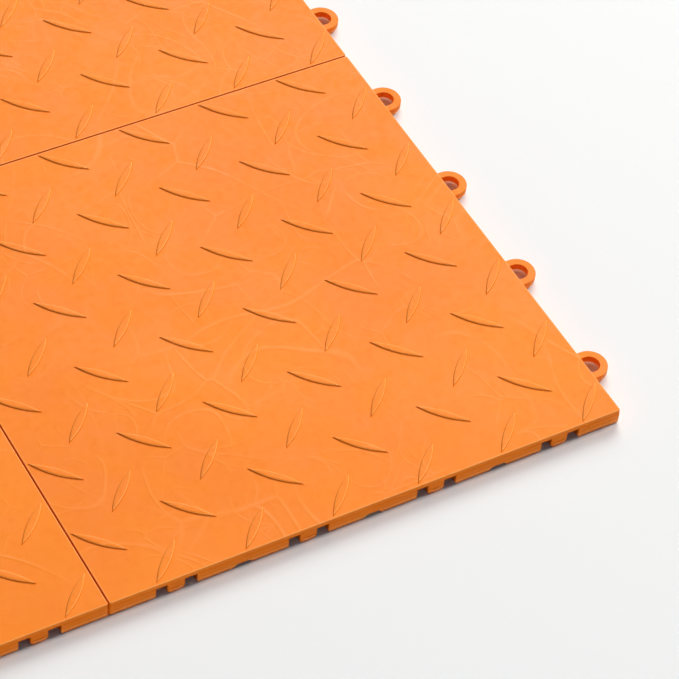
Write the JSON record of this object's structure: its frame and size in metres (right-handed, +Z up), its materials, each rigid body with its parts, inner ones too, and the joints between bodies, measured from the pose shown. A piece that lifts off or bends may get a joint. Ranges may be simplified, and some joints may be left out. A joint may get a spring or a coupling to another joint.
{
  "type": "interlocking floor tile set",
  "caption": "Square snap-together plastic floor tiles laid two by two, with a raised diamond tread, edge loops and pegs, and a ribbed underside.",
  "frame": {"origin": "middle of the set's bounding box, on the floor the tiles lie on", "axes": "+Z up through the tread, +X towards the right-hand loops, +Y towards the back loops"},
  "size_m": [0.6238, 0.6238, 0.0108],
  "materials": {
    "tile_plastic": "satin moulded polypropylene, orange"
  },
  "bodies": {
    "front_left": {"front_left_tile": "tile_plastic"},
    "front_right": {"front_right_tile": "tile_plastic"},
    "back_left": {"back_left_tile": "tile_plastic"},
    "back_right": {"back_right_tile": "tile_plastic"}
  },
  "joints": [
    {"name": "front_right_lift", "type": "slide", "parent": "front_left", "child": "front_right", "axis": [0, 0, 1], "range_m": [0, 0.04]},
    {"name": "back_left_lift", "type": "slide", "parent": "front_left", "child": "back_left", "axis": [0, 0, 1], "range_m": [0, 0.04]},
    {"name": "back_right_lift", "type": "slide", "parent": "front_right", "child": "back_right", "axis": [0, 0, 1], "range_m": [0, 0.04]}
  ],
  "couplings": [
    {"joint": "back_left_lift", "follows": "front_right_lift", "ratio": 1}
  ]
}
